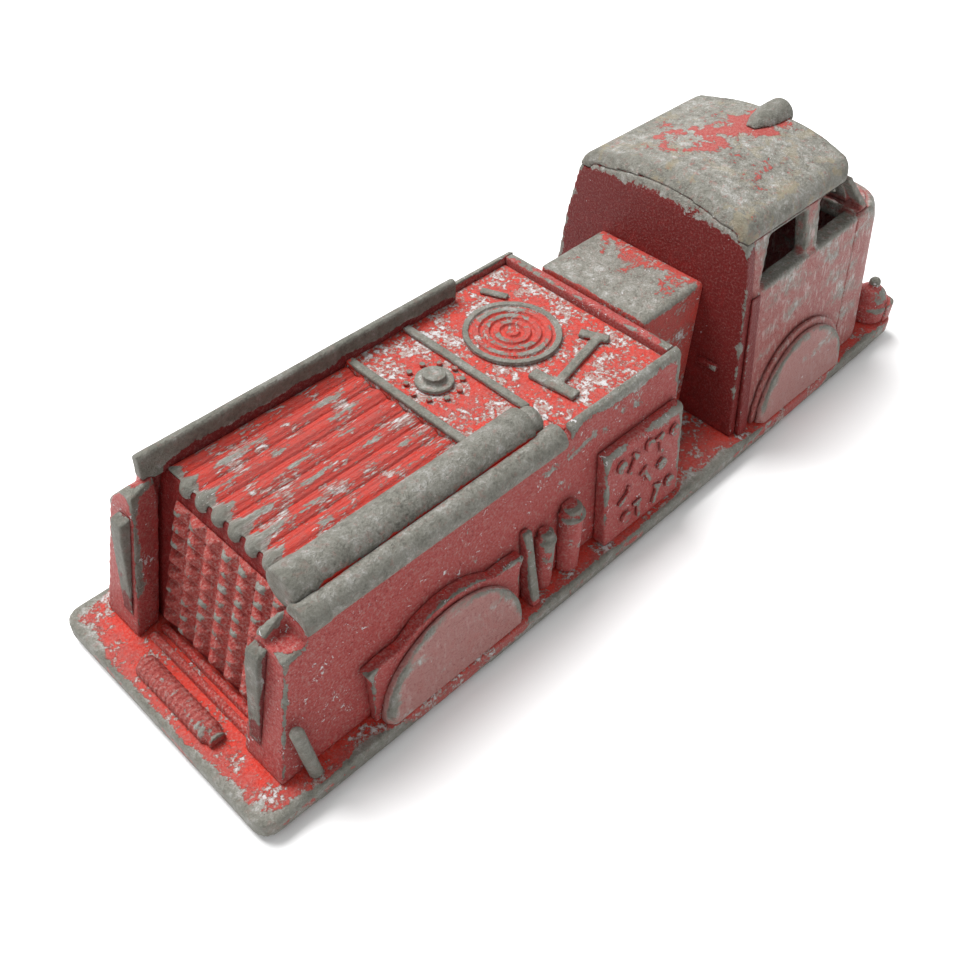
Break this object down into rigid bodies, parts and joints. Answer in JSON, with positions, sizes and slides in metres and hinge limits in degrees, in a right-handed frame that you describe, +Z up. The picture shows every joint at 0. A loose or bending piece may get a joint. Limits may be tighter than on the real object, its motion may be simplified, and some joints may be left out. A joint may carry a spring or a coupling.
{
  "type": "toy fire engine",
  "caption": "Worn die-cast toy fire engine: one-piece hollow casting with open cab, hose bed, tray and running board, on two hidden free-rolling axles.",
  "frame": {"origin": "centre of the footprint on the ground plane that the four wheels stand on", "axes": "+X towards the cab's nose, +Y towards the vehicle's left side, +Z up"},
  "size_m": [0.131, 0.0412, 0.0401],
  "materials": {
    "red_paint": "worn semi-gloss enamel",
    "bare_cast_metal": "matt, oxidised die-cast alloy",
    "axle_steel": "satin",
    "wheel_rubber": "matt"
  },
  "bodies": {
    "casting": {"running_board": "red_paint", "left_side_wall": "red_paint", "right_side_wall": "red_paint", "body_front_wall": "red_paint", "hose_bed_shell": "red_paint", "packed_hose_top": "red_paint", "packed_hose_rear": "red_paint", "tank_top": "red_paint", "equipment_tray": "red_paint", "hose_coil": "red_paint", "rear_step_hose": "red_paint", "rear_step_bars": "red_paint", "left_grab_strap": "red_paint", "right_grab_strap": "red_paint", "corner_post": "red_paint", "rear_wheel_discs": "red_paint", "front_wheel_discs": "red_paint", "rear_fenders": "red_paint", "front_fenders": "red_paint", "left_pump_panel": "red_paint", "right_pump_panel": "red_paint", "large_extinguishers": "red_paint", "small_extinguishers": "red_paint", "tool_brackets": "red_paint", "engine_cover": "red_paint", "cab_rear_wall": "red_paint", "cab_left_side": "red_paint", "cab_right_side": "red_paint", "windscreen_frame": "red_paint", "cab_corner_beads": "red_paint", "cab_step": "red_paint", "cab_nose": "red_paint", "cab_hood": "red_paint", "front_bumper": "red_paint", "axle_lugs": "red_paint", "deck_ribs": "bare_cast_metal", "filler_cap": "bare_cast_metal", "filler_cap_bolts": "bare_cast_metal", "hydrant_wrench": "bare_cast_metal", "hose_spanner": "bare_cast_metal", "left_bed_rail": "bare_cast_metal", "suction_hose_upper": "bare_cast_metal", "suction_hose_lower": "bare_cast_metal", "left_pump_controls": "bare_cast_metal", "right_pump_controls": "bare_cast_metal", "cab_roof": "bare_cast_metal", "radiator_grille": "bare_cast_metal", "headlamps": "bare_cast_metal", "roof_beacon": "bare_cast_metal", "bell": "bare_cast_metal", "siren": "bare_cast_metal"},
    "front_wheelset": {"front_axle": "axle_steel", "front_left_wheel": "wheel_rubber", "front_right_wheel": "wheel_rubber"},
    "rear_wheelset": {"rear_axle": "axle_steel", "rear_left_wheel": "wheel_rubber", "rear_right_wheel": "wheel_rubber"}
  },
  "joints": [
    {"name": "front_axle_spin", "type": "hinge", "parent": "casting", "child": "front_wheelset", "pos_m": [0.0375, 0, 0.0065], "axis": [0, 1, 0], "continuous": true},
    {"name": "rear_axle_spin", "type": "hinge", "parent": "casting", "child": "rear_wheelset", "pos_m": [-0.0355, 0, 0.0065], "axis": [0, 1, 0], "continuous": true}
  ]
}
